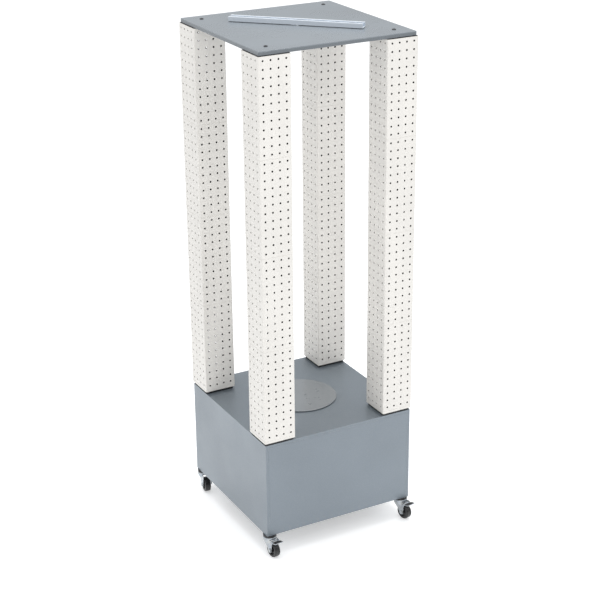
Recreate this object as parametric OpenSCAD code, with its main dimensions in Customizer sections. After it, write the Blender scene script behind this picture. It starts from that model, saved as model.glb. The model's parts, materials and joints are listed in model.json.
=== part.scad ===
// Rolling pegboard floor display: four square pegboard towers stand on a sheet-steel
// base box with casters, and a folded top plate ties their heads together. A low
// turntable sits in the middle of the deck and a sign channel on the top plate.
// +X is the right of the front face, +Y the back, and the floor is at Z = 0.

/* [Overall] */
// Distance between the centres of neighbouring towers
tower_spacing = 431.8; // [420:0.1:460]
// Width and depth of the base box
base_w = 533.4; // [522:0.1:560]
// Height of the base box
base_h = 326; // [260:1:400]
// Height of the box's lower edge above the floor, which the casters set
caster_h = 76.4; // [76:0.1:80]

/* [Pegboard] */
// Distance between neighbouring peg holes, both ways
peg_pitch = 25.4; // [25.4:0.1:25.6]
// Diameter of a peg hole
peg_hole_d = 6.3; // [4:0.1:7]
// Peg hole columns on each face of a tower
peg_columns = 4; // [3:1:4]
// Peg hole rows on each moulded module
peg_rows = 12; // [6:1:12]
// Width of a tower
tower_w = 108; // [104:0.5:110]
// Wall thickness of a module
tower_wall = 2.6; // [2:0.1:3.5]
// Radius of a tower's upright edges
tower_r = 3.6; // [2.8:0.1:5]

/* [Top plate] */
// Width and depth of the top plate
plate_w = 530.8; // [520:0.1:550]
// Height of the top plate's folded lip
plate_lip = 12.7; // [10:0.1:16]
// Sheet thickness of the top plate
plate_t = 2; // [1.5:0.1:2.5]

/* [Sign channel] */
// Length of the sign channel
channel_l = 426; // [300:1:500]
// Outer width of the sign channel
channel_w = 32; // [28:1:40]
// Height of the sign channel
channel_h = 14; // [12:0.5:18]
// Turn of the sign channel away from the X axis, in degrees
channel_turn = -45; // [-90:1:90]

/* [Turntable] */
// Diameter of the turntable disc
disc_d = 246; // [180:1:300]
// Thickness of the turntable disc
disc_t = 3; // [2:0.5:4]

/* [Casters] */
// Diameter of a caster wheel over its tyre
wheel_d = 50.8; // [50:0.1:51]
// Width of a caster tyre
tyre_w = 20; // [18:0.5:21]
// Distance from a caster's swivel axis back to its axle
trail = 20; // [18:0.5:22]
// Distance from the base's sides to a caster's swivel axis
caster_inset = 18; // [17:0.5:34]
// Turn of each caster in the order of the corners, in degrees
caster_turns = [8, 11, -8, 150]; // [-180:1:180]

/* [Hidden] */
$fn = 48;
eps = 0.01;

// The four corners: name, and side of the centre line in X and in Y
CORNERS = [["fl", -1, -1], ["fr", 1, -1], ["bl", -1, 1], ["br", 1, 1]];

// Tower stack
modules_per_tower = 4;
module_h = peg_rows * peg_pitch + 1.27;
first_row = 13.97;
seam = 1;
seam_inset = 0.4;
foot_h = 8.6;
foot_w = 98;
bottom_cap_h = 7.6;
plug_h = 8;
plug_gap = 0.3;
deck_z = caster_h + base_h;
tower_z = deck_z + foot_h + bottom_cap_h;
tower_top = tower_z + modules_per_tower * module_h;
plate_gap = 1.7;
plate_z = tower_top + plate_gap;
plate_top = plate_z + plate_lip;
rod_r = 5;
rod_below_deck = 52;
screw_r = 3;
screw_depth = 20;

// Base box
sheet = 1.5;
deck_lip = 9;
wrap = 9;
hem_h = 12;
panel_gap = 0.4;
flange = 14;
stiffener_w = 62;
stiffener_h = 24;
gusset_leg = 112;
gusset_t = 3;

// Turntable
disc_gap = 1.2;
spindle_r = 8;
collar_r = 18;
collar_t = 5;
ball_r = 2.2;
housing_h = 30;
housing_floor = 12;
run = 0.06;
thread_gap = 0.05;

// Sign channel
channel_wall = 1.6;
channel_rim = 9;
washer_t = 1.8;

// Caster
axle_r = 4;
pin_r = 5;
caster_xy = base_w / 2 - caster_inset;
plate_r = 20;
stem_plate_t = 3;
dust_ring_r = 21.8;
swivel_ball_r = 2;
crown_top = caster_h - stem_plate_t - 2 * swivel_ball_r - 0.2;
crown_t = 9.6;
cheek_gap = 24;
cheek_t = 2.5;
pivot = [27, 56.5];
pedal_tilt = 14;
pedal_t = 2.5;
pedal_pin_r = 2.5;
wheel_r = wheel_d / 2;

// ---- Shared shapes ----

// Square outline with rounded corners, centred on the origin
module rounded_square(w, r) {
    square([w - 2 * r, w], center = true);
    square([w, w - 2 * r], center = true);
    for (x = [-1, 1], y = [-1, 1])
        translate([x, y] * (w / 2 - r)) circle(r = r);
}

// Upright block with rounded upright edges
module rounded_block(w, h, r) {
    linear_extrude(height = h) rounded_square(w, r);
}

// Puts its child at every corner, at the given distance from both centre lines
module at_corners(distance) {
    for (c = CORNERS)
        translate([c[1] * distance, c[2] * distance, 0]) children();
}

// Hexagon nut or bolt head with its flats s apart
module hex_block(s, h) {
    cylinder(d = s / cos(30), h = h, $fn = 6);
}

// ---- Towers ----

// Peg holes through the front wall of a module, in rows and columns
module front_wall_holes() {
    for (column = [0:peg_columns - 1], row = [0:peg_rows - 1])
        translate([
            (column - (peg_columns - 1) / 2) * peg_pitch,
            -tower_w / 2 - 1,
            first_row + row * peg_pitch
        ])
            rotate([-90, 0, 0])
                cylinder(d = peg_hole_d, h = tower_wall + 2, $fn = 24);
}

// One moulded square tube with peg holes on all four faces. Its ends are stepped in
// slightly, so that a fine line shows where two modules meet.
module tower_module() {
    difference() {
        union() {
            rounded_block(tower_w - 2 * seam_inset, module_h, tower_r - seam_inset);
            translate([0, 0, seam])
                rounded_block(tower_w, module_h - 2 * seam, tower_r);
        }
        translate([0, 0, -1])
            rounded_block(tower_w - 2 * tower_wall, module_h + 2, tower_r - tower_wall + 0.6);
        for (face = [0:3])
            rotate(90 * face) front_wall_holes();
    }
}

module tower_module_at(corner, level) {
    color([0.93, 0.92, 0.90])
        translate([
            corner[1] * tower_spacing / 2,
            corner[2] * tower_spacing / 2,
            tower_z + (level - 1) * module_h
        ])
            tower_module();
}

// Plug of a cap that locates it inside a tower, standing on Z = 0
module cap_plug(h) {
    plug_w = tower_w - 2 * tower_wall - 2 * plug_gap;
    difference() {
        rounded_block(plug_w, h, 1.4);
        translate([0, 0, -1]) rounded_block(plug_w - 8, h + 2, 1);
    }
}

// Black blocks that hold the towers clear of the deck
module tower_feet() {
    color([0.06, 0.06, 0.06])
        at_corners(tower_spacing / 2)
            translate([0, 0, deck_z])
                difference() {
                    rounded_block(foot_w, foot_h, 3);
                    translate([0, 0, -1]) cylinder(r = rod_r + 0.3, h = foot_h + 2);
                }
}

module tower_bottom_caps() {
    color([0.93, 0.92, 0.90])
        at_corners(tower_spacing / 2)
            translate([0, 0, deck_z + foot_h])
                difference() {
                    union() {
                        rounded_block(tower_w, bottom_cap_h, tower_r);
                        translate([0, 0, bottom_cap_h]) cap_plug(plug_h);
                    }
                    translate([0, 0, -1]) cylinder(r = rod_r + 0.3, h = bottom_cap_h + 2);
                }
}

// Black spacer caps between the tower heads and the underside of the top plate
module tower_top_caps() {
    rim_t = 1.2;
    spacer_h = plate_top - plate_t - tower_top;
    color([0.06, 0.06, 0.06])
        at_corners(tower_spacing / 2)
            translate([0, 0, tower_top])
                difference() {
                    union() {
                        rounded_block(tower_w - 4, rim_t, 2);
                        rounded_block(foot_w - 4, spacer_h, 3);
                        translate([0, 0, -plug_h]) cap_plug(plug_h);
                    }
                    translate([0, 0, -1]) cylinder(r = rod_r + 0.3, h = spacer_h + 2);
                }
}

// Threaded rods that clamp each tower between the deck and the top plate
module tie_rods() {
    rod_bottom = deck_z - rod_below_deck;
    rod_top = plate_top - plate_t - 1;
    color([0.72, 0.73, 0.74])
        at_corners(tower_spacing / 2)
            difference() {
                translate([0, 0, rod_bottom]) cylinder(r = rod_r, h = rod_top - rod_bottom);
                translate([0, 0, rod_top - screw_depth])
                    cylinder(r = screw_r + thread_gap, h = screw_depth + 1);
            }
}

// Low black screws through the top plate into the tie rods
module plate_screws() {
    color([0.05, 0.05, 0.05])
        at_corners(tower_spacing / 2)
            difference() {
                union() {
                    translate([0, 0, plate_top])
                        rotate_extrude()
                            polygon([[0, 0], [6.2, 0], [6.2, 1.2], [5, 2.6], [0, 2.6]]);
                    translate([0, 0, plate_top - screw_depth + 4])
                        cylinder(r = screw_r, h = screw_depth - 4);
                }
                translate([0, 0, plate_top + 1]) hex_block(4, 3);
            }
}

// ---- Base box ----

// Deck and both sides, folded from one sheet. The sides wrap round the corners, the
// deck has a narrow lip at the front and back, and the lower edges are hemmed.
module base_shell() {
    half = base_w / 2;
    side_h = base_h - sheet;
    color([0.56, 0.60, 0.63])
        difference() {
            union() {
                translate([-half, -half, deck_z - sheet]) cube([base_w, base_w, sheet]);
                for (y = [-1, 1])
                    translate([-half, y * (half - sheet / 2) - sheet / 2, deck_z - deck_lip])
                        cube([base_w, sheet, deck_lip]);
                for (x = [-1, 1]) {
                    translate([x * (half - sheet / 2) - sheet / 2, -half, caster_h])
                        cube([sheet, base_w, side_h]);
                    translate([x * (half - 1.5 * sheet) - sheet / 2, -half, caster_h])
                        cube([sheet, base_w, hem_h]);
                    for (y = [-1, 1]) {
                        translate([
                            x * (half - wrap / 2) - wrap / 2,
                            y * (half - sheet / 2) - sheet / 2,
                            caster_h
                        ])
                            cube([wrap, sheet, side_h]);
                        translate([
                            x * (half - wrap + sheet / 2) - sheet / 2,
                            y * (half - flange / 2) - flange / 2,
                            caster_h + hem_h
                        ])
                            cube([sheet, flange, side_h - hem_h]);
                    }
                }
            }
            translate([0, 0, deck_z - sheet - 1]) cylinder(r = spindle_r + 1, h = sheet + 2);
            at_corners(tower_spacing / 2)
                translate([0, 0, deck_z - sheet - 1]) cylinder(r = rod_r + 0.3, h = sheet + 2);
            base_panel_screw_holes();
        }
}

// Flat panel that closes the front of the box below the deck's lip, with a return
// flange at each end and a hem along its lower edge
module base_panel() {
    half = base_w / 2;
    panel_w = base_w - 2 * (wrap + panel_gap);
    panel_h = base_h - deck_lip - panel_gap;
    translate([-panel_w / 2, -half, caster_h]) cube([panel_w, sheet, panel_h]);
    translate([-panel_w / 2, -half, caster_h]) cube([panel_w, 2 * sheet, hem_h]);
    for (x = [-1, 1])
        translate([x * (panel_w / 2 - sheet / 2) - sheet / 2, -half, caster_h + hem_h])
            cube([sheet, flange, panel_h - hem_h - 2]);
}

// Places the cross screws that join the panels' flanges to the shell's flanges
module at_panel_screws() {
    x = base_w / 2 - wrap + sheet / 2;
    for (sx = [-1, 1], sy = [-1, 1], level = [0.15, 0.5, 0.85])
        translate([sx * x, sy * (base_w / 2 - flange + 5), caster_h + base_h * level])
            rotate([0, -90 * sx, 0]) children();
}

module base_panel_screw_holes() {
    at_panel_screws() translate([0, 0, -3]) cylinder(r = 2, h = 8, $fn = 24);
}

module base_front_panel() {
    color([0.58, 0.62, 0.65])
        difference() {
            base_panel();
            base_panel_screw_holes();
        }
}

module base_back_panel() {
    color([0.58, 0.62, 0.65])
        difference() {
            rotate(180) base_panel();
            base_panel_screw_holes();
        }
}

module panel_screws() {
    color([0.72, 0.73, 0.74])
        at_panel_screws() {
            translate([0, 0, -2.5]) cylinder(r = 2, h = 5.5, $fn = 24);
            translate([0, 0, sheet * 1.5 + panel_gap])
                cylinder(r = 3.8, h = 2.4, $fn = 24);
        }
}

// Corner plates at the bottom of the box that carry the casters
module caster_gussets() {
    half = base_w / 2 - 2 * sheet;
    color([0.52, 0.56, 0.59])
        for (c = CORNERS)
            difference() {
                translate([0, 0, caster_h])
                    linear_extrude(height = gusset_t)
                        scale([c[1], c[2]])
                            polygon([
                                [half, half],
                                [half - gusset_leg, half],
                                [half - gusset_leg, half - 24],
                                [half - 24, half - gusset_leg],
                                [half, half - gusset_leg]
                            ]);
                translate([c[1] * caster_xy, c[2] * caster_xy, caster_h - 1])
                    cylinder(r = pin_r + 0.1, h = gusset_t + 2);
            }
}

// Hat section, open upwards, with its two brims at the top
module hat_outline() {
    brim = 12;
    a = stiffener_w / 2;
    b = a - brim;
    h = stiffener_h;
    t = sheet;
    polygon([
        [-a, h - t], [-b, h - t], [-b, 0], [b, 0], [b, h - t], [a, h - t],
        [a, h], [b - t, h], [b - t, t], [t - b, t], [t - b, h], [-a, h]
    ]);
}

// Hat-section rails under the deck that spread the towers' load
module deck_stiffeners() {
    rail_l = base_w - 2 * (wrap + sheet + 2);
    color([0.52, 0.56, 0.59])
        for (y = [-1, 1])
            translate([0, y * tower_spacing / 2, deck_z - sheet - stiffener_h])
                difference() {
                    translate([-rail_l / 2, 0, 0])
                        rotate([90, 0, 90]) linear_extrude(height = rail_l) hat_outline();
                    for (x = [-1, 1])
                        translate([x * tower_spacing / 2, 0, -1])
                            cylinder(r = rod_r + 0.3, h = sheet + 2);
                }
}

// Hexagon nuts on the lower ends of the tie rods and on the caster stems
module m10_nuts() {
    nut_h = 8;
    color([0.72, 0.73, 0.74]) {
        at_corners(tower_spacing / 2)
            translate([0, 0, deck_z - sheet - stiffener_h - nut_h])
                difference() {
                    hex_block(17, nut_h);
                    translate([0, 0, -1]) cylinder(r = rod_r + thread_gap, h = nut_h + 2);
                }
        at_corners(caster_xy)
            translate([0, 0, caster_h + gusset_t])
                difference() {
                    hex_block(17, nut_h);
                    translate([0, 0, -1]) cylinder(r = pin_r + thread_gap, h = nut_h + 2);
                }
    }
}

// ---- Turntable ----

disc_z = deck_z + disc_gap;
housing_z = deck_z - sheet - housing_h;
race_z = housing_z + housing_floor;

module turntable_disc() {
    edge = 0.8;
    color([0.72, 0.74, 0.75])
        translate([0, 0, disc_z])
            rotate_extrude($fn = 96)
                polygon([
                    [0, 0], [disc_d / 2 - edge, 0], [disc_d / 2, edge],
                    [disc_d / 2, disc_t - edge], [disc_d / 2 - edge, disc_t], [0, disc_t]
                ]);
}

// Spindle under the disc, with the collar that rides on the balls
module turntable_spindle() {
    tail = 14;
    color([0.72, 0.73, 0.74]) {
        translate([0, 0, housing_z - tail])
            cylinder(r = spindle_r, h = disc_z - housing_z + tail);
        translate([0, 0, race_z + 2 * ball_r + 0.1]) cylinder(r = collar_r, h = collar_t);
    }
}

// Cup welded under the deck: a ball race on its floor and a bore for the spindle
module bearing_housing() {
    color([0.55, 0.57, 0.59])
        translate([0, 0, housing_z])
            difference() {
                union() {
                    cylinder(r = 32, h = housing_h);
                    translate([0, 0, housing_h - 3]) cylinder(r = 48, h = 3);
                }
                translate([0, 0, housing_floor]) cylinder(r = 22, h = housing_h);
                translate([0, 0, -1]) cylinder(r = spindle_r + run, h = housing_h);
            }
}

module bearing_balls() {
    ring_r = 13;
    count = 16;
    color([0.80, 0.81, 0.82])
        for (i = [0:count - 1])
            rotate(360 / count * i)
                translate([ring_r, 0, race_z + ball_r]) sphere(r = ball_r, $fn = 24);
}

module spindle_nut() {
    nut_h = 9;
    color([0.72, 0.73, 0.74])
        translate([0, 0, housing_z - nut_h - 0.3])
            difference() {
                hex_block(24, nut_h);
                translate([0, 0, -1]) cylinder(r = spindle_r + thread_gap, h = nut_h + 2);
            }
}

// ---- Top plate and sign channel ----

// Shallow folded pan, open below
module top_plate() {
    color([0.66, 0.68, 0.70])
        difference() {
            translate([0, 0, plate_z]) rounded_block(plate_w, plate_lip, 2.5);
            translate([0, 0, plate_z - 1])
                rounded_block(plate_w - 2 * plate_t, plate_lip - plate_t + 1, 1);
            at_corners(tower_spacing / 2)
                translate([0, 0, plate_z]) cylinder(r = screw_r + 0.2, h = plate_lip + 1);
            translate([0, 0, plate_z]) cylinder(r = screw_r + 0.2, h = plate_lip + 1);
        }
}

channel_z = plate_top + washer_t;

// Channel with inturned rims that grips the foot of a sign card
module sign_channel() {
    slot_w = channel_w - 2 * channel_rim;
    color([0.80, 0.83, 0.87])
        translate([0, 0, channel_z])
            rotate(channel_turn)
                difference() {
                    translate([-channel_l / 2, -channel_w / 2, 0])
                        cube([channel_l, channel_w, channel_h]);
                    translate([-channel_l / 2 - 1, -channel_w / 2 + channel_wall, channel_wall])
                        cube([
                            channel_l + 2,
                            channel_w - 2 * channel_wall,
                            channel_h - 2 * channel_wall
                        ]);
                    translate([-channel_l / 2 - 1, -slot_w / 2, channel_wall])
                        cube([channel_l + 2, slot_w, channel_h]);
                    translate([0, 0, -1]) cylinder(r = screw_r + run, h = channel_wall + 2);
                }
}

// Washer, shouldered screw and nut that hold the channel and let it turn
module channel_fasteners() {
    color([0.78, 0.79, 0.80]) {
        translate([0, 0, plate_top])
            difference() {
                cylinder(r = 19, h = washer_t - 0.05);
                translate([0, 0, -1]) cylinder(r = screw_r + 0.2, h = washer_t + 2);
            }
        translate([0, 0, plate_top - plate_t - 9])
            cylinder(r = screw_r, h = plate_t + 9 + washer_t + channel_wall + 0.1);
        translate([0, 0, channel_z + channel_wall + 0.05]) cylinder(r = 5.6, h = 2.8);
        translate([0, 0, plate_top - plate_t - 5.5])
            difference() {
                hex_block(10, 5.5);
                translate([0, 0, -1]) cylinder(r = screw_r + thread_gap, h = 8);
            }
    }
}

// ---- Casters ----
// A caster is drawn with its swivel axis on Z and its axle behind it, towards -Y.

module place_caster(i) {
    translate([CORNERS[i][1] * caster_xy, CORNERS[i][2] * caster_xy, 0])
        rotate(caster_turns[i]) children();
}

// Fixed half: threaded stem, upper race plate, kingpin and its riveted head
module caster_stem(i) {
    head_t = 2.8;
    head_z = crown_top - crown_t - head_t - 0.1;
    color([0.74, 0.75, 0.76])
        place_caster(i) {
            translate([0, 0, caster_h - stem_plate_t]) cylinder(r = plate_r, h = stem_plate_t);
            translate([0, 0, head_z]) cylinder(r = pin_r, h = caster_h + 20 - head_z);
            translate([0, 0, head_z]) cylinder(r = 8.5, h = head_t);
        }
}

// Side cheek outline, with X backwards from the swivel axis and Y upwards
module cheek_outline() {
    top = crown_top - crown_t + 2;
    hull() {
        translate([-18, top - 5]) square([49, 5]);
        translate([trail, wheel_r]) circle(r = 8, $fn = 32);
    }
}

module caster_fork(i) {
    crown_r = 22.4;
    crown_z = crown_top - crown_t;
    color([0.78, 0.79, 0.80])
        place_caster(i)
            difference() {
                union() {
                    translate([0, 0, crown_z])
                        rotate_extrude()
                            polygon([
                                [0, 0], [crown_r, 0], [crown_r, crown_t - 4],
                                [crown_r - 3, crown_t - 1], [plate_r - 2, crown_t],
                                [0, crown_t]
                            ]);
                    for (x = [-1, 1])
                        translate([x * (cheek_gap + cheek_t) / 2 - cheek_t / 2, 0, 0])
                            rotate([90, 0, -90]) mirror([0, 0, 1])
                                linear_extrude(height = cheek_t) cheek_outline();
                }
                cylinder(r = pin_r + run, h = caster_h);
                translate([-30, -trail, wheel_r])
                    rotate([0, 90, 0]) cylinder(r = axle_r, h = 60);
                translate([-30, -pivot[0], pivot[1]])
                    rotate([0, 90, 0]) cylinder(r = pedal_pin_r + run, h = 60);
            }
}

// Axle bolt with its nut
module caster_axle(i) {
    outer = cheek_gap / 2 + cheek_t;
    color([0.82, 0.83, 0.84])
        place_caster(i)
            translate([0, -trail, wheel_r])
                rotate([0, 90, 0]) {
                    translate([0, 0, -outer - 3.4]) hex_block(12, 3.4);
                    translate([0, 0, -outer - eps]) cylinder(r = axle_r, h = 2 * outer + 5.4);
                    translate([0, 0, outer])
                        difference() {
                            hex_block(12, 4.2);
                            translate([0, 0, -1]) cylinder(r = axle_r + thread_gap, h = 7);
                        }
                }
}

rim_r = wheel_r - 7;

// Wheel centre: a rim and a boss joined by a thinner web
module caster_wheel(i) {
    boss_w = cheek_gap - 1.4;
    color([0.25, 0.26, 0.27])
        place_caster(i)
            translate([0, -trail, wheel_r])
                rotate([0, 90, 0])
                    rotate_extrude()
                        polygon([
                            [axle_r + run, -boss_w / 2], [8, -boss_w / 2], [8.6, -5],
                            [rim_r - 3, -5], [rim_r - 2, -tyre_w / 2 + 1],
                            [rim_r, -tyre_w / 2 + 1], [rim_r, tyre_w / 2 - 1],
                            [rim_r - 2, tyre_w / 2 - 1], [rim_r - 3, 5],
                            [8.6, 5], [8, boss_w / 2], [axle_r + run, boss_w / 2]
                        ]);
}

// Tyre with rounded shoulders
module caster_tyre(i) {
    shoulder = 3.4;
    color([0.05, 0.05, 0.055])
        place_caster(i)
            translate([0, -trail, wheel_r])
                rotate([0, 90, 0])
                    rotate_extrude($fn = 72)
                        difference() {
                            union() {
                                translate([rim_r, -tyre_w / 2])
                                    square([wheel_r - rim_r - shoulder, tyre_w]);
                                translate([rim_r, -tyre_w / 2 + shoulder])
                                    square([wheel_r - rim_r, tyre_w - 2 * shoulder]);
                                for (y = [-1, 1])
                                    translate([
                                        wheel_r - shoulder, y * (tyre_w / 2 - shoulder)
                                    ])
                                        circle(r = shoulder);
                            }
                            translate([0, -tyre_w]) square([rim_r, 2 * tyre_w]);
                        }
}

// Brake pedal, raised: a narrow neck between the cheeks, a wide tread behind them,
// and a cam lobe that swings onto the tyre when the tread is pressed down
module brake_pedal(i) {
    neck_w = cheek_gap - 3;
    boss_w = cheek_gap - 1.8;
    boss_r = 3.6;
    neck_l = 8;
    tread_w = 31;
    tread_l = 19;
    lobe_l = 6.1;
    lobe_t = 3.4;
    lobe_turn = 15.3;
    color([0.66, 0.67, 0.68])
        place_caster(i)
            translate([0, -pivot[0], pivot[1]]) {
                rotate([0, 90, 0])
                    translate([0, 0, -cheek_gap / 2 - cheek_t])
                        cylinder(r = pedal_pin_r, h = cheek_gap + 2 * cheek_t, $fn = 32);
                rotate([0, 90, 0])
                    translate([0, 0, -boss_w / 2]) cylinder(r = boss_r, h = boss_w, $fn = 32);
                rotate([-pedal_tilt, 0, 0]) {
                    translate([-neck_w / 2, -neck_l - 1, -pedal_t / 2])
                        cube([neck_w, neck_l + 1, pedal_t]);
                    translate([-tread_w / 2, -neck_l - tread_l, -pedal_t / 2])
                        cube([tread_w, tread_l, pedal_t]);
                }
                rotate([-lobe_turn, 0, 0])
                    translate([-6, -lobe_t / 2, -lobe_l]) cube([12, lobe_t, lobe_l]);
            }
}

// Swivel bearing balls of all four casters, between the race plate and the crown
module swivel_balls() {
    ring_r = 15;
    count = 14;
    color([0.80, 0.81, 0.82])
        at_corners(caster_xy)
            for (k = [0:count - 1])
                rotate(360 / count * k)
                    translate([ring_r, 0, crown_top + 0.1 + swivel_ball_r])
                        sphere(r = swivel_ball_r, $fn = 24);
}

// Black rings that close the gaps around the swivel bearings, held under the race plates
module dust_rings() {
    ball_room = 18;
    bottom = crown_top + 0.3;
    plate_bottom = caster_h - stem_plate_t;
    color([0.06, 0.06, 0.06])
        at_corners(caster_xy)
            translate([0, 0, bottom])
                difference() {
                    cylinder(r = dust_ring_r, h = caster_h - 0.2 - bottom);
                    translate([0, 0, -1]) cylinder(r = ball_room, h = caster_h);
                    translate([0, 0, plate_bottom - thread_gap - bottom])
                        cylinder(r = plate_r + thread_gap, h = caster_h);
                }
}

// ---- Nodes ----

for (c = CORNERS, level = [1:modules_per_tower])
    tower_module_at(c, level);
for (i = [0:3]) {
    caster_stem(i);
    caster_fork(i);
    caster_axle(i);
    caster_wheel(i);
    caster_tyre(i);
}
brake_pedal(0);  // caster_fl_pedal
brake_pedal(1);  // caster_fr_pedal
swivel_balls();
dust_rings();
tower_feet();
tower_bottom_caps();
tower_top_caps();
tie_rods();
plate_screws();
base_shell();
base_front_panel();
base_back_panel();
panel_screws();
caster_gussets();
deck_stiffeners();
m10_nuts();
turntable_disc();
turntable_spindle();
bearing_housing();
bearing_balls();
spindle_nut();
top_plate();
sign_channel();
channel_fasteners();
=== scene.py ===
import json
import math

import bpy
from mathutils import Matrix, Quaternion, Vector


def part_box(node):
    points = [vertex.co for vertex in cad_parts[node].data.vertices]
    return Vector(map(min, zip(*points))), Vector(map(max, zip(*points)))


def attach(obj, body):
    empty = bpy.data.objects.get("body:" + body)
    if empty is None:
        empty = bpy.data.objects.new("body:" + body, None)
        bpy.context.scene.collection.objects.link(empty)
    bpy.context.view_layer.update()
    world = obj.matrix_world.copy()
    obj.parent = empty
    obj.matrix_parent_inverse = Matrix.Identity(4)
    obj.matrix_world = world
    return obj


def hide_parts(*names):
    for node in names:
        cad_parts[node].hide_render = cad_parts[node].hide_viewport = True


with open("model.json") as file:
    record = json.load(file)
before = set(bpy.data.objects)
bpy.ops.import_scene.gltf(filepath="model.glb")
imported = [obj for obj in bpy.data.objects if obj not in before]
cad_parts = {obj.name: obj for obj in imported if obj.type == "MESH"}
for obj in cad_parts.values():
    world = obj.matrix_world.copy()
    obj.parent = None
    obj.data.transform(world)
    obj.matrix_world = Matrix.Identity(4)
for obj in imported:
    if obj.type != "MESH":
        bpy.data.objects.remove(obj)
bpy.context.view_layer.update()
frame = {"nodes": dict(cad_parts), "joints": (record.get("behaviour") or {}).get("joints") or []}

NODES = frame["nodes"]
CORNERS = ("fl", "fr", "bl", "br")

# ---- Camera, from the point it looks at ----

LOOK_AT = Vector((0.0, -0.008, 0.753))
CAMERA_AZIMUTH = 28.28
CAMERA_ELEVATION = 22.35
CAMERA_DISTANCE = 5.008
CAMERA_ROLL = -0.55
CAMERA_LENS = 92.1
CAMERA_REACH = 200


def make_camera():
    azimuth, elevation = math.radians(CAMERA_AZIMUTH), math.radians(CAMERA_ELEVATION)
    back = Vector(
        (
            -math.sin(azimuth) * math.cos(elevation),
            -math.cos(azimuth) * math.cos(elevation),
            math.sin(elevation),
        )
    )
    data = bpy.data.cameras.new("camera")
    data.lens = CAMERA_LENS
    data.clip_end = CAMERA_REACH
    camera = bpy.data.objects.new("camera", data)
    bpy.context.scene.collection.objects.link(camera)
    camera.rotation_mode = "QUATERNION"
    camera.location = LOOK_AT + back * CAMERA_DISTANCE
    roll = Quaternion((0, 0, 1), math.radians(CAMERA_ROLL))
    camera.rotation_quaternion = (-back).to_track_quat("-Z", "Y") @ roll
    bpy.context.scene.camera = camera


# ---- Node materials ----


class Finish:
    """One node material. Its patterns are laid out in the object's own space, in metres."""

    def __init__(self, name, colour, roughness, metallic=0.0, **constants):
        self.material = bpy.data.materials.new(name)
        self.material.use_nodes = True
        self.tree = self.material.node_tree
        self.shader = self.tree.nodes["Principled BSDF"]
        self.colour = (*colour, 1.0)
        self.set("Base Color", self.colour)
        self.set("Roughness", roughness)
        self.set("Metallic", metallic)
        for socket, value in constants.items():
            self.set(socket.replace("_", " "), value)
        self.place = self.node("ShaderNodeTexCoord").outputs["Object"]

    def node(self, kind, **inputs):
        made = self.tree.nodes.new(kind)
        for name, value in inputs.items():
            self.feed(made.inputs[name.replace("_", " ")], value)
        return made

    def feed(self, socket, value):
        if isinstance(value, bpy.types.NodeSocket):
            self.tree.links.new(value, socket)
        else:
            socket.default_value = value

    def set(self, socket, value):
        self.feed(self.shader.inputs[socket], value)

    def stretched(self, stretch, turn=0.0):
        """The place, turned about Z and with each axis stretched by a factor."""
        turned = self.node("ShaderNodeMapping", Vector=self.place)
        turned.vector_type = "TEXTURE"
        turned.inputs["Rotation"].default_value = (0, 0, math.radians(turn))
        turned.inputs["Scale"].default_value = stretch
        return turned.outputs["Vector"]

    def noise(self, size, detail=2.0, place=None, roughness=0.5):
        """Soft noise with blobs about size metres across."""
        made = self.node(
            "ShaderNodeTexNoise",
            Vector=place or self.place,
            Scale=1 / size,
            Detail=detail,
            Roughness=roughness,
        )
        return made.outputs["Fac"]

    def cells(self, size, output="Color", place=None):
        """Cells about size metres across, each with a value of its own."""
        made = self.node(
            "ShaderNodeTexVoronoi", Vector=place or self.place, Scale=1 / size
        )
        return made.outputs[output]

    def spread(self, value, low, high, to_low=0.0, to_high=1.0):
        """Maps value from low..high to to_low..to_high, and clamps it."""
        made = self.node("ShaderNodeMapRange", Value=value)
        for socket, number in zip(
            ("From Min", "From Max", "To Min", "To Max"), (low, high, to_low, to_high)
        ):
            made.inputs[socket].default_value = number
        return made.outputs["Result"]

    def maths(self, operation, a, b=0.0):
        made = self.node("ShaderNodeMath")
        made.operation = operation
        self.feed(made.inputs[0], a)
        self.feed(made.inputs[1], b)
        return made.outputs["Value"]

    def mix(self, factor, a, b):
        made = self.node("ShaderNodeMix")
        made.data_type = "RGBA"
        self.feed(made.inputs["Factor"], factor)
        self.feed(made.inputs[6], a)
        self.feed(made.inputs[7], b)
        return made.outputs[2]

    def edges(self, radius):
        """1 along edges with that radius and 0 on flat faces."""
        rounded = self.node("ShaderNodeBevel", Radius=radius)
        rounded.samples = 4
        flat = self.node("ShaderNodeNewGeometry").outputs["Normal"]
        product = self.node("ShaderNodeVectorMath")
        product.operation = "DOT_PRODUCT"
        self.feed(product.inputs[0], rounded.outputs["Normal"])
        self.feed(product.inputs[1], flat)
        return self.spread(product.outputs["Value"], 0.98, 0.72)

    def bump(self, height, depth, strength=1.0, normal=None):
        made = self.node("ShaderNodeBump", Height=height, Strength=strength, Distance=depth)
        if normal is not None:
            self.feed(made.inputs["Normal"], normal)
        return made.outputs["Normal"]


def shade(colour, factor):
    return (*(c * factor for c in colour[:3]), 1.0)


# Colour factor for the painted shade on a folded lip.
LIP_PAINTED_SHADE = 0.72


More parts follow.
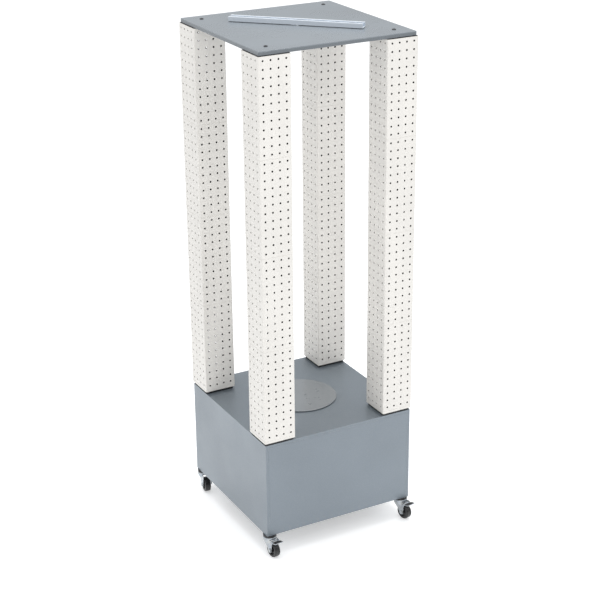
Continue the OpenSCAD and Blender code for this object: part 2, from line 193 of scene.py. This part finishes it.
def powder_coat(name, colour, roughness=0.36, folded_at=None):
    """Silver powder coat on sheet steel: metallic flakes, orange peel, faint clouding.
    Below the height folded_at the colour is darker: painted shade on the folded lip."""
    f = Finish(name, colour, roughness, 0.35, Coat_Weight=0.12, Coat_Roughness=0.2)
    cloud = f.noise(0.35, 3)
    tone = f.mix(
        f.spread(cloud, 0.3, 0.7), shade(f.colour, 0.94), shade(f.colour, 1.06)
    )
    flake = f.cells(0.0009)
    sparkle = f.spread(flake, 0.55, 1.0)
    tone = f.mix(f.maths("MULTIPLY", sparkle, 0.06), tone, (0.86, 0.88, 0.9, 1))
    rubbed = f.maths("MULTIPLY", f.edges(0.0016), f.spread(f.noise(0.03, 3), 0.4, 0.62))
    tone = f.mix(f.maths("MULTIPLY", rubbed, 0.35), tone, (0.62, 0.64, 0.66, 1))
    if folded_at is not None:
        # Painted shade: below folded_at the colour fades to a darker copy of itself, for the
        # shade the folded lip sits in.
        height = f.node("ShaderNodeSeparateXYZ", Vector=f.place).outputs["Z"]
        lip = f.spread(height, folded_at - 0.0012, folded_at, 1, 0)
        dark = f.mix(1.0, tone, shade(f.colour, LIP_PAINTED_SHADE))
        tone = f.mix(lip, tone, dark)
    f.set("Base Color", tone)
    f.set(
        "Roughness",
        f.maths(
            "ADD",
            f.spread(f.noise(0.12, 4), 0.3, 0.7, roughness - 0.04, roughness + 0.05),
            f.maths("MULTIPLY", sparkle, -0.05),
        ),
    )
    f.set("Normal", f.bump(f.noise(0.0016, 2), 0.00005, 0.3))
    return f.material


def depth_in_tower(f, axis):
    """How far a point lies inside its tower's outer faces across axis X or Y, in metres."""
    low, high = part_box("tower_fr_module_1")
    axes = f.node("ShaderNodeSeparateXYZ", Vector=f.place).outputs
    reach = f.maths("SUBTRACT", f.maths("ABSOLUTE", axes[axis]), (high.x + low.x) / 2)
    return f.maths("SUBTRACT", (high.x - low.x) / 2, f.maths("ABSOLUTE", reach))


def moulded_white(name):
    """Warm white styrene, moulded: fine spark texture, faint flow lines up the tower.
    Inside the tubes, and in the bores of the front and back faces, the colour is near black:
    painted shade where light does not reach."""
    f = Finish(name, (0.775, 0.752, 0.715), 0.46, Specular_IOR_Level=0.45)
    flow = f.noise(0.05, 3, f.stretched((1, 1, 6)))
    tone = f.mix(f.spread(flow, 0.3, 0.7), shade(f.colour, 0.965), shade(f.colour, 1.03))
    rubbed = f.maths("MULTIPLY", f.edges(0.0022), f.spread(f.noise(0.04, 3), 0.42, 0.6))
    tone = f.mix(f.maths("MULTIPLY", rubbed, 0.3), tone, (0.66, 0.64, 0.6, 1))
    # Painted shade: points deep behind the tower's outer faces get a near-black colour, standing
    # in for the shade inside the tubes and bores.
    inside = f.maths(
        "MINIMUM",
        f.spread(depth_in_tower(f, "X"), 0.0021, 0.0026),
        f.spread(depth_in_tower(f, "Y"), 0.0004, 0.0008),
    )
    f.set("Base Color", f.mix(inside, tone, (0.012, 0.011, 0.01, 1)))
    f.set("Roughness", f.spread(f.noise(0.02, 4), 0.3, 0.7, 0.41, 0.52))
    grain = f.bump(f.noise(0.0007, 1), 0.00003, 0.5)
    f.set("Normal", f.bump(f.noise(0.04, 2), 0.0002, 0.25, grain))
    return f.material


def black_moulding(name, roughness=0.5, size=0.0006):
    f = Finish(name, (0.018, 0.018, 0.02), roughness)
    dust = f.spread(f.noise(0.03, 4), 0.5, 0.75)
    dusty = f.mix(f.maths("MULTIPLY", dust, 0.12), f.colour, (0.2, 0.2, 0.2, 1))
    f.set("Base Color", dusty)
    f.set(
        "Roughness",
        f.spread(f.noise(0.01, 3), 0.3, 0.7, roughness - 0.06, roughness + 0.1),
    )
    f.set("Normal", f.bump(f.noise(size, 2), 0.00005, 0.6))
    return f.material


def zinc(name, colour=(0.42, 0.45, 0.48), roughness=0.22):
    """Bright zinc plate: clouded, with faint blue and straw tints and fine pitting."""
    f = Finish(name, colour, roughness, 1.0)
    cloud = f.noise(0.012, 4)
    tone = f.mix(f.spread(cloud, 0.35, 0.65), (0.32, 0.37, 0.44, 1), (0.54, 0.53, 0.49, 1))
    tone = f.mix(0.55, tone, f.colour)
    worn = f.maths("MULTIPLY", f.edges(0.0008), f.spread(f.noise(0.006, 3), 0.4, 0.6))
    f.set("Base Color", f.mix(f.maths("MULTIPLY", worn, 0.6), tone, (0.83, 0.83, 0.82, 1)))
    f.set(
        "Roughness",
        f.spread(f.noise(0.004, 5), 0.3, 0.7, roughness - 0.07, roughness + 0.12),
    )
    f.set("Normal", f.bump(f.noise(0.0009, 3), 0.00004, 0.5))
    return f.material


def anodised(name):
    """Satin anodised aluminium with drawing lines along the channel."""
    f = Finish(name, (0.75, 0.80, 0.86), 0.3, 0.5)
    along = f.stretched((0.25, 0.0008, 0.0008), -45)
    lines = f.noise(1.0, 3, along)
    f.set(
        "Base Color",
        f.mix(f.spread(lines, 0.35, 0.65), shade(f.colour, 0.92), shade(f.colour, 1.07)),
    )
    f.set("Roughness", f.spread(lines, 0.3, 0.7, 0.28, 0.42))
    f.set("Normal", f.bump(lines, 0.00003, 0.5))
    return f.material


def gloss_disc(name):
    """Glossy grey disc with a faint haze."""
    f = Finish(name, (0.208, 0.228, 0.247), 0.3, 0.2, Coat_Weight=1.0, Coat_Roughness=0.04)
    haze = f.noise(0.08, 4)
    dull, bright = shade(f.colour, 0.98), shade(f.colour, 1.02)
    f.set("Base Color", f.mix(f.spread(haze, 0.3, 0.7), dull, bright))
    f.set("Roughness", f.spread(f.noise(0.03, 3), 0.3, 0.7, 0.27, 0.31))
    f.set("Normal", f.bump(f.noise(0.06, 1), 0.00001, 0.05))
    return f.material


def tyre(name):
    """Hard black tyre: semi-gloss, with scuffs and a little dust."""
    f = Finish(name, (0.012, 0.012, 0.013), 0.28)
    scuff = f.spread(f.noise(0.007, 5), 0.52, 0.7)
    scuffed = f.mix(f.maths("MULTIPLY", scuff, 0.2), f.colour, (0.14, 0.14, 0.135, 1))
    f.set("Base Color", scuffed)
    f.set("Roughness", f.spread(f.noise(0.005, 4), 0.3, 0.7, 0.2, 0.42))
    f.set("Normal", f.bump(f.noise(0.0012, 3), 0.00005, 0.6))
    return f.material


MATERIALS = {
    "base_paint": powder_coat("base_paint", (0.203, 0.236, 0.268)),
    # Top plate paint, with painted shade on its folded lip from 2.2 mm under the top down.
    "plate_paint": powder_coat(
        "plate_paint", (0.222, 0.248, 0.272), 0.3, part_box("top_plate")[1].z - 0.0022
    ),
    "tower_plastic": moulded_white("tower_plastic"),
    "black_plastic": black_moulding("black_plastic"),
    "black_steel": black_moulding("black_steel", 0.34, 0.0004),
    "bright_zinc": zinc("bright_zinc"),
    "channel_aluminium": anodised("channel_aluminium"),
    "disc_plastic": gloss_disc("disc_plastic"),
    "wheel_plastic": black_moulding("wheel_plastic", 0.4),
    "tyre_rubber": tyre("tyre_rubber"),
}


def dress(obj, slot):
    obj.data.materials.clear()
    obj.data.materials.append(MATERIALS[slot])


for node, obj in NODES.items():
    names = [m.name for m in obj.data.materials]
    slot = next(s for s in MATERIALS if names and names[0].startswith(s))
    dress(obj, slot)


# ---- Softened edges on folded sheet and machined parts ----


def soften(obj, width, segments=2, angle=35.0):
    weld = obj.modifiers.new("weld", "WELD")
    weld.merge_threshold = 0.00001
    flat = obj.modifiers.new("flat", "DECIMATE")
    flat.decimate_type = "DISSOLVE"
    flat.angle_limit = math.radians(0.5)
    bevel = obj.modifiers.new("bevel", "BEVEL")
    bevel.width = width
    bevel.segments = segments
    bevel.limit_method = "ANGLE"
    bevel.angle_limit = math.radians(angle)
    bevel.miter_outer = "MITER_ARC"
    normals = obj.modifiers.new("normals", "WEIGHTED_NORMAL")
    normals.keep_sharp = False


for node, width in {
    "base_shell": 0.0007,
    "base_front_panel": 0.0005,
    "base_back_panel": 0.0005,
    "top_plate": 0.0016,
    "sign_channel": 0.0004,
    "m10_nuts": 0.0006,
    "tower_feet": 0.0008,
    "tower_bottom_caps": 0.0008,
    "turntable_disc": 0.0013,
    "caster_fl_pedal": 0.0005,
    "caster_fr_pedal": 0.0005,
}.items():
    soften(NODES[node], width)


# ---- Caster forks and pedal pads ----

JOINTS = {j["name"]: j for j in frame["joints"]}
FORK_TOP = 0.0620
FORK_TOP_EDGE = 0.005
FORK_FRONT = 0.018
FORK_REAR = -0.031
FORK_FLAT_BELOW = 0.038
FORK_BLEND = 0.022
FORK_MARGIN = 0.00001
END_STEPS = 48
ROW_SPACING = 1.15
FORK_SHEET = 0.0025
FORK_HALF = 0.0145
CROWN_R = 0.0224
CROWN_LOW = 0.0596
CROWN_HIGH = 0.0692
CHEEK_END_R = 0.008
KINGPIN_BORE_R = 0.0053


def caster_place(corner):
    """Matrix from a caster drawn with its swivel axis on Z and its axle towards -Y."""
    swivel = Vector(JOINTS[f"caster_{corner}_turn"]["pos_m"])
    axis = JOINTS[f"caster_{corner}_roll"]["axis"]
    turn = math.atan2(axis[1], axis[0])
    return Matrix.Translation((swivel.x, swivel.y, 0)) @ Matrix.Rotation(turn, 4, "Z")


def new_piece(name, points, faces, slot, body, place):
    mesh = bpy.data.meshes.new(name)
    mesh.from_pydata([place @ Vector(p) for p in points], [], faces)
    mesh.validate()
    obj = bpy.data.objects.new(name, mesh)
    bpy.context.scene.collection.objects.link(obj)
    mesh.materials.append(MATERIALS[slot])
    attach(obj, body)
    return obj


def lathe(profile, segments=64):
    """Points and faces of a closed ring swept round Z from a closed loop of (r, z)."""
    points, faces, count = [], [], len(profile)
    for i in range(segments):
        angle = 2 * math.pi * i / segments
        points += [(r * math.cos(angle), r * math.sin(angle), z) for r, z in profile]
    for i in range(segments):
        for k in range(count):
            this, after = i * count, (i + 1) % segments * count
            step = (k + 1) % count
            faces.append((this + k, after + k, after + step, this + step))
    return points, faces


def cheek_limits(z, trail, axle_z):
    """Front and rear y of a cheek at height z, from its top edge and its round end."""
    outline = [
        (y, top)
        for y in (FORK_FRONT, FORK_REAR)
        for top in (FORK_TOP - FORK_TOP_EDGE, FORK_TOP)
    ]
    for step in range(END_STEPS):
        angle = 2 * math.pi * step / END_STEPS
        outline.append(
            (
                -trail + CHEEK_END_R * math.cos(angle),
                axle_z + CHEEK_END_R * math.sin(angle),
            )
        )
    found = []
    for ya, za in outline:
        for yb, zb in outline:
            if za <= z <= zb and zb - za > 1e-9:
                found.append(ya + (yb - ya) * (z - za) / (zb - za))
    return max(found), min(found)


def smooth_step(t):
    t = min(1.0, max(0.0, t))
    return t * t * (3 - 2 * t)


def cheek(side, trail, axle_z, rows=26, columns=22):
    """One pressed cheek: it follows the round crown at the top and runs flat to the axle.
    It is a closed plate with an outer and an inner skin."""
    low = axle_z - CHEEK_END_R
    points, faces = [], []
    for skin in (0, 1):
        for i in range(rows + 1):
            rise = FORK_TOP - low - 2 * FORK_MARGIN
            z = low + FORK_MARGIN + rise * (i / rows) ** ROW_SPACING
            front, rear = cheek_limits(z, trail, axle_z)
            rounded = smooth_step((z - FORK_FLAT_BELOW) / FORK_BLEND)
            for k in range(columns + 1):
                y = front + (rear - front) * k / columns
                round_x = math.sqrt(max(CROWN_R**2 - y**2, FORK_HALF**2))
                x = FORK_HALF + (round_x - FORK_HALF) * rounded - skin * FORK_SHEET
                points.append((side * x, y, z))
    width = columns + 1
    skin_size = (rows + 1) * width

    def quad(a, b, c, d):
        faces.append((a, b, c, d) if side > 0 else (d, c, b, a))

    for i in range(rows):
        for k in range(columns):
            a = i * width + k
            quad(a, a + width, a + width + 1, a + 1)
            b = a + skin_size
            quad(b, b + 1, b + width + 1, b + width)
    rim = list(range(width))
    rim += [i * width + columns for i in range(1, rows + 1)]
    rim += [rows * width + k for k in range(columns - 1, -1, -1)]
    rim += [i * width for i in range(rows - 1, 0, -1)]
    for a, b in zip(rim, rim[1:] + rim[:1]):
        quad(a, b, b + skin_size, a + skin_size)
    return points, faces


def merged(shapes):
    points, faces = [], []
    for p, f in shapes:
        start = len(points)
        points += p
        faces += [tuple(start + i for i in face) for face in f]
    return points, faces


def crown_profile():
    """Loop of (r, z): a flat underside, a rolled shoulder, and a groove by the kingpin."""
    underside = [
        (KINGPIN_BORE_R, 0), (0.0190, 0), (0.0206, 0.0003), (0.0218, 0.0012),
        (CROWN_R, 0.0028),
    ]
    top = [
        (CROWN_R, 0.0036), (0.0220, 0.0021), (0.0209, 0.0011), (0.0196, 0.0008),
        (0.0190, 0.0002), (0.0180, 0), (0.0118, 0), (0.0108, 0.0006), (0.0098, 0),
        (KINGPIN_BORE_R, 0),
    ]
    return [(r, CROWN_LOW + up) for r, up in underside] + [
        (r, CROWN_HIGH - down) for r, down in top
    ]


def make_fork(corner):
    place = caster_place(corner)
    axle = Vector(JOINTS[f"caster_{corner}_roll"]["pos_m"])
    swivel = Vector(JOINTS[f"caster_{corner}_turn"]["pos_m"])
    trail = math.hypot(axle.x - swivel.x, axle.y - swivel.y)
    crown = lathe(crown_profile())
    fork = new_piece(
        f"caster_{corner}_fork_pressing",
        *merged([crown, cheek(1, trail, axle.z), cheek(-1, trail, axle.z)]),
        "bright_zinc",
        f"caster_{corner}_swivel",
        place,
    )
    bevel = fork.modifiers.new("bevel", "BEVEL")
    bevel.width = 0.0004
    bevel.segments = 2
    bevel.limit_method = "ANGLE"
    bevel.angle_limit = math.radians(50)
    shade_smooth(fork)
    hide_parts(f"caster_{corner}_fork")


PEDAL_TILT = math.radians(14)
PEDAL_T = 0.0025
PAD_LOW_Y = -0.0262
PAD_HALF_W = 0.0142
PAD_SKIN = 0.0005
RIB_PITCH = 0.0031
RIB_RISE = 0.0007
RIB_COUNT = 5
SUNK = 0.00005


def make_pedal_pad(corner):
    """Ribbed black pad on top of a brake tread, drawn from the pedal's pivot."""
    pivot = Vector(JOINTS[f"caster_{corner}_brake_press"]["pos_m"])
    turned = caster_place(corner).to_3x3().to_4x4()
    place = Matrix.Translation(pivot) @ turned @ Matrix.Rotation(-PEDAL_TILT, 4, "X")
    low = PEDAL_T / 2 - SUNK
    skin = PEDAL_T / 2 + PAD_SKIN
    outline = [(PAD_LOW_Y, low), (PAD_LOW_Y, skin)]
    for rib in range(RIB_COUNT):
        start = PAD_LOW_Y + RIB_PITCH * rib
        for share, rise in ((0.2, 0), (0.32, 1), (0.68, 1), (0.8, 0)):
            outline.append((start + share * RIB_PITCH, skin + rise * RIB_RISE))
    end = PAD_LOW_Y + RIB_PITCH * RIB_COUNT
    outline += [(end, skin), (end, low)]
    count = len(outline)
    points = [(x, y, z) for x in (-PAD_HALF_W, PAD_HALF_W) for y, z in outline]
    faces = [tuple(range(count)), tuple(range(2 * count - 1, count - 1, -1))]
    for k in range(count):
        after = (k + 1) % count
        faces.append((after, k, k + count, after + count))
    pad = new_piece(
        f"caster_{corner}_pedal_pad",
        points,
        faces,
        "black_plastic",
        f"caster_{corner}_brake",
        place,
    )
    bevel = pad.modifiers.new("bevel", "BEVEL")
    bevel.width = 0.00018
    bevel.segments = 2
    shade_smooth(pad)


def shade_smooth(obj):
    obj.data.polygons.foreach_set("use_smooth", [True] * len(obj.data.polygons))
    normals = obj.modifiers.new("normals", "WEIGHTED_NORMAL")
    normals.keep_sharp = False


for corner in CORNERS:
    make_fork(corner)
for corner in ("fl", "fr"):
    make_pedal_pad(corner)


# ---- Floor and light ----

FLOOR_SIZE = 60.0
FLOOR_GLOW = 0.42
WORLD_LOW = 0.30
WORLD_HIGH = 1.14


def make_floor():
    mesh = bpy.data.meshes.new("floor")
    half = FLOOR_SIZE / 2
    mesh.from_pydata(
        [(-half, -half, 0), (half, -half, 0), (half, half, 0), (-half, half, 0)],
        [],
        [(0, 1, 2, 3)],
    )
    floor = bpy.data.objects.new("floor", mesh)
    bpy.context.scene.collection.objects.link(floor)
    f = Finish("studio_floor", (0.86, 0.865, 0.87), 0.22, Specular_IOR_Level=0.35)
    f.set("Emission Color", (1, 1, 1, 1))
    f.set("Emission Strength", FLOOR_GLOW)
    f.set("Roughness", f.spread(f.noise(0.4, 2), 0.3, 0.7, 0.2, 0.26))
    mesh.materials.append(f.material)


def make_lamp(name, place, target, size, power, colour=(1, 1, 1)):
    data = bpy.data.lights.new(name, "AREA")
    data.shape = "RECTANGLE"
    data.size, data.size_y = size
    data.energy = power
    data.color = colour
    lamp = bpy.data.objects.new(name, data)
    bpy.context.scene.collection.objects.link(lamp)
    lamp.location = place
    lamp.rotation_mode = "QUATERNION"
    lamp.rotation_quaternion = (Vector(target) - Vector(place)).to_track_quat("-Z", "Y")


def make_world():
    """A studio that is bright overhead and greyer towards the horizon."""
    world = bpy.data.worlds.new("studio")
    world.use_nodes = True
    tree = world.node_tree
    background = tree.nodes["Background"]
    background.inputs["Color"].default_value = (0.98, 0.99, 1.0, 1)
    place = tree.nodes.new("ShaderNodeTexCoord")
    axes = tree.nodes.new("ShaderNodeSeparateXYZ")
    rise = tree.nodes.new("ShaderNodeMapRange")
    tree.links.new(place.outputs["Generated"], axes.inputs["Vector"])
    tree.links.new(axes.outputs["Z"], rise.inputs["Value"])
    for socket, number in zip(
        ("From Min", "From Max", "To Min", "To Max"), (0.0, 0.8, WORLD_LOW, WORLD_HIGH)
    ):
        rise.inputs[socket].default_value = number
    tree.links.new(rise.outputs["Result"], background.inputs["Strength"])
    bpy.context.scene.world = world


make_floor()
make_world()
middle = (0, 0, 0.85)
make_lamp("key", (-0.7, -3.5, 2.9), middle, (1.8, 1.8), 20)
make_lamp("fill", (3.2, -1.8, 2.2), middle, (2.2, 2.2), 5)
make_lamp("top", (0.2, 0.3, 4.2), middle, (2.4, 2.4), 78)

bpy.context.scene.view_settings.view_transform = "Standard"
make_camera()
